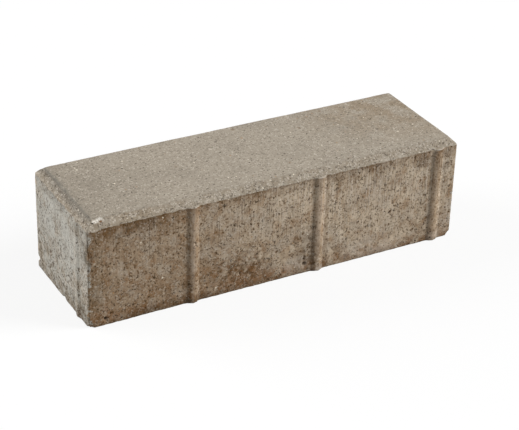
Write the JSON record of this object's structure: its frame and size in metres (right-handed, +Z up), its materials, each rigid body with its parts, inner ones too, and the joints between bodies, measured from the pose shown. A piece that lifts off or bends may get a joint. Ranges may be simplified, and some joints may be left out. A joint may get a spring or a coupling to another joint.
{
  "type": "concrete paving sett",
  "caption": "Long rectangular concrete paving sett with a chamfered top face and upright rounded spacer ribs on its sides, laid in rows on a bed to pave a path or yard.",
  "frame": {"origin": "centre of the flat bottom face, which rests on the bed", "axes": "+X along the length, +Y across the width, +Z up through the thickness towards the chamfered face that is walked on"},
  "size_m": [0.29, 0.094, 0.08],
  "materials": {
    "concrete": "bare pressed concrete, sandy on top, streaked and pitted on the sides"
  },
  "bodies": {
    "root": {"paving_sett": "concrete"}
  },
  "joints": []
}
